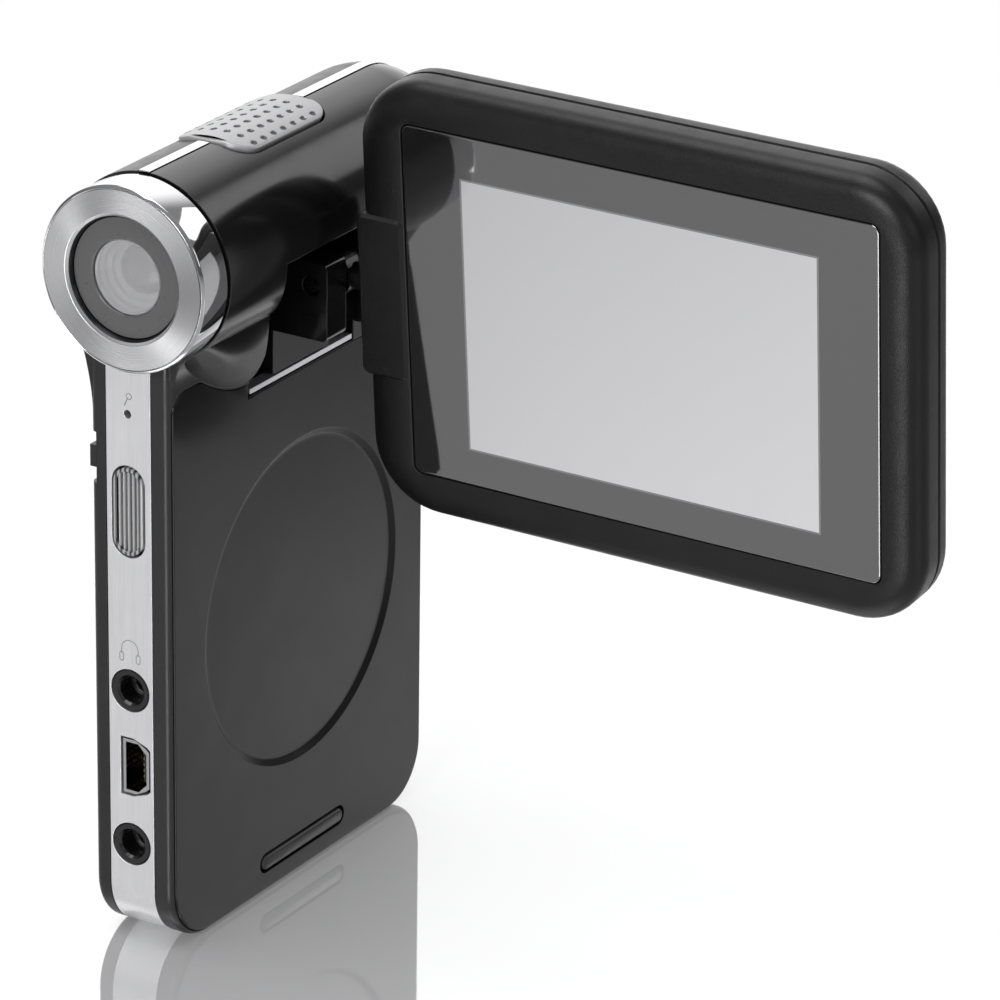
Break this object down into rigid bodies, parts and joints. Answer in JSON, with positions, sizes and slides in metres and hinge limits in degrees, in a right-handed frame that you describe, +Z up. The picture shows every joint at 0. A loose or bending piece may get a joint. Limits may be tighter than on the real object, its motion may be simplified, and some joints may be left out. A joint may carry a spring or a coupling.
{
  "type": "camcorder",
  "caption": "Upright pocket camcorder with a round lens barrel across the top and a side screen on a two-axis hinge.",
  "frame": {"origin": "middle of the grip's flat underside", "axes": "+X towards the side with the screen, +Y from the lens to the back, +Z up the grip"},
  "size_m": [0.1052, 0.0647, 0.1137],
  "materials": {
    "shell": "fine satin black",
    "gloss_shell": "gloss black",
    "soft_plastic": "fine matt grain",
    "strip": "satin silver",
    "silver_button": "satin silver",
    "chrome": "spun face, polished rim",
    "grey_plastic": "gloss grey",
    "glass": "clear",
    "display": "flat grey",
    "lamp": "ribbed clear",
    "rubber": "matt",
    "steel": "satin",
    "board": "solder mask",
    "cell": "film wrapped"
  },
  "bodies": {
    "camcorder": {"left_shell": "shell", "right_shell": "gloss_shell", "side_panel": "gloss_shell", "rest_pad": "rubber", "front_strip": "strip", "shell_screw_1": "steel", "shell_screw_2": "steel", "shell_screw_3": "steel", "shell_screw_4": "steel", "tripod_bush": "steel", "audio_jack": "soft_plastic", "av_jack": "soft_plastic", "usb_shell": "steel", "usb_tongue": "soft_plastic", "microphone": "steel", "lamp_window": "lamp", "lamp_led_1": "display", "lamp_led_2": "display", "lens_ring": "chrome", "lens_plate": "grey_plastic", "lens_window": "glass", "lens_tube": "soft_plastic", "front_element": "glass", "rear_element": "glass", "image_sensor": "cell", "sensor_board": "board", "trim_front": "strip", "trim_rear": "strip", "battery": "cell", "main_board": "board", "card_socket": "steel", "memory_card": "soft_plastic", "speaker": "steel", "hinge_plate": "steel", "hinge_base": "soft_plastic", "fold_pin": "steel"},
    "arm": {"hinge_arm": "steel"},
    "screen": {"screen_bezel": "soft_plastic", "screen_back": "soft_plastic", "screen_glass": "glass", "display_panel": "display", "screen_board": "board", "hinge_block": "soft_plastic", "block_screw_1": "steel", "block_screw_2": "steel"},
    "zoom_rocker_body": {"zoom_rocker": "silver_button"},
    "record_button_body": {"record_button": "silver_button"},
    "power_button_body": {"power_button": "soft_plastic"},
    "menu_button_body": {"menu_button": "soft_plastic"},
    "up_button_body": {"up_button": "soft_plastic"},
    "down_button_body": {"down_button": "soft_plastic"},
    "macro_slide_body": {"macro_slide": "soft_plastic"},
    "battery_door_body": {"battery_door": "shell"}
  },
  "joints": [
    {"name": "screen_fold", "type": "hinge", "parent": "camcorder", "child": "arm", "pos_m": [0.0116, 0, 0.0843], "axis": [0, 1, 0], "range_deg": [0, 25]},
    {"name": "screen_twist", "type": "hinge", "parent": "arm", "child": "screen", "pos_m": [0.0116, 0, 0.0843], "axis": [1, 0, 0], "range_deg": [-270, 0]},
    {"name": "zoom_rock", "type": "hinge", "parent": "camcorder", "child": "zoom_rocker_body", "pos_m": [0.0022, -0.0055, 0.1025], "axis": [1, 0, 0], "range_deg": [-2, 2], "stiffness_Nm_per_rad": 0.05},
    {"name": "record_button_press", "type": "slide", "parent": "camcorder", "child": "record_button_body", "axis": [0, -1, 0], "range_m": [0, 0.0006], "stiffness_N_per_m": 400},
    {"name": "power_button_press", "type": "slide", "parent": "camcorder", "child": "power_button_body", "axis": [0, -1, 0], "range_m": [0, 0.0004], "stiffness_N_per_m": 300},
    {"name": "menu_button_press", "type": "slide", "parent": "camcorder", "child": "menu_button_body", "axis": [0, -1, 0], "range_m": [0, 0.0004], "stiffness_N_per_m": 300},
    {"name": "up_button_press", "type": "slide", "parent": "camcorder", "child": "up_button_body", "axis": [0, -1, 0], "range_m": [0, 0.0004], "stiffness_N_per_m": 300},
    {"name": "down_button_press", "type": "slide", "parent": "camcorder", "child": "down_button_body", "axis": [0, -1, 0], "range_m": [0, 0.0004], "stiffness_N_per_m": 300},
    {"name": "macro_travel", "type": "slide", "parent": "camcorder", "child": "macro_slide_body", "axis": [0, 0, 1], "range_m": [-0.0018, 0.0018]},
    {"name": "door_slide", "type": "slide", "parent": "camcorder", "child": "battery_door_body", "axis": [0, 1, 0], "range_m": [0, 0.006]}
  ]
}
